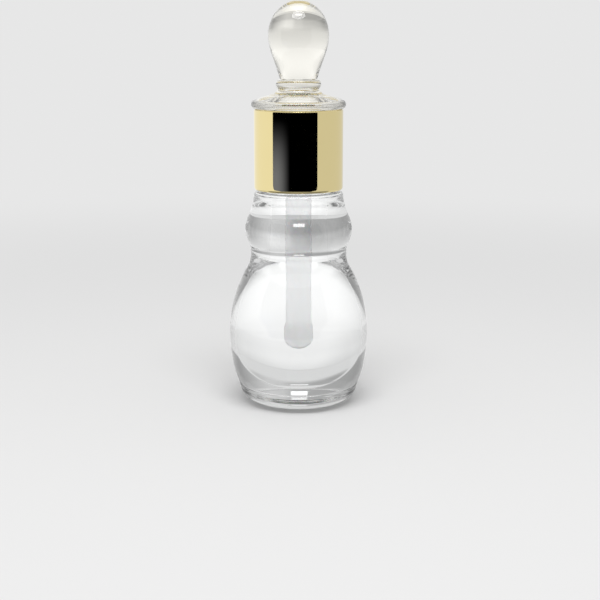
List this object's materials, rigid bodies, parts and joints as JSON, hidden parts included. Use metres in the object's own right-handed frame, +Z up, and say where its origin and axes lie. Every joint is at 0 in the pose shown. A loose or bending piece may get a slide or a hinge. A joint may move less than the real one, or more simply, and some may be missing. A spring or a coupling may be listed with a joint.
{
  "type": "roll on bottle",
  "caption": "Small clear glass perfume bottle with a waisted body, a gold sleeve over its screw cap, a clear ball knob and a dip rod applicator that hangs into the bottle.",
  "frame": {"origin": "middle of the base, on the surface that the bottle stands on", "axes": "+Z up along the bottle's axis of revolution; X and Y lie in the table's plane and are interchangeable"},
  "size_m": [0.0334, 0.0332, 0.095],
  "materials": {
    "clear_glass": "clear moulded glass, fire polished",
    "soft_plastic": "natural soft plastic, slightly see-through",
    "foam": "fine closed foam",
    "cap_plastic": "natural white moulded plastic",
    "gold_metal": "bright pale gold, anodised and polished",
    "rod_plastic": "milky see-through plastic with a smooth skin",
    "clear_plastic": "clear moulded acrylic, polished"
  },
  "bodies": {
    "bottle": {"glass_bottle": "clear_glass", "wiper_plug": "soft_plastic"},
    "liner": {"sealing_liner": "foam"},
    "cap": {"inner_cap": "cap_plastic", "gold_collar": "gold_metal", "applicator_rod": "rod_plastic", "knob_top": "clear_plastic"}
  },
  "joints": [
    {"name": "cap_lift", "type": "slide", "parent": "bottle", "child": "liner", "axis": [0, 0, 1], "range_m": [0, 0.06]},
    {"name": "cap_turn", "type": "hinge", "parent": "liner", "child": "cap", "pos_m": [0, 0, 0.0673], "axis": [0, 0, 1], "range_deg": [0, 720]}
  ]
}
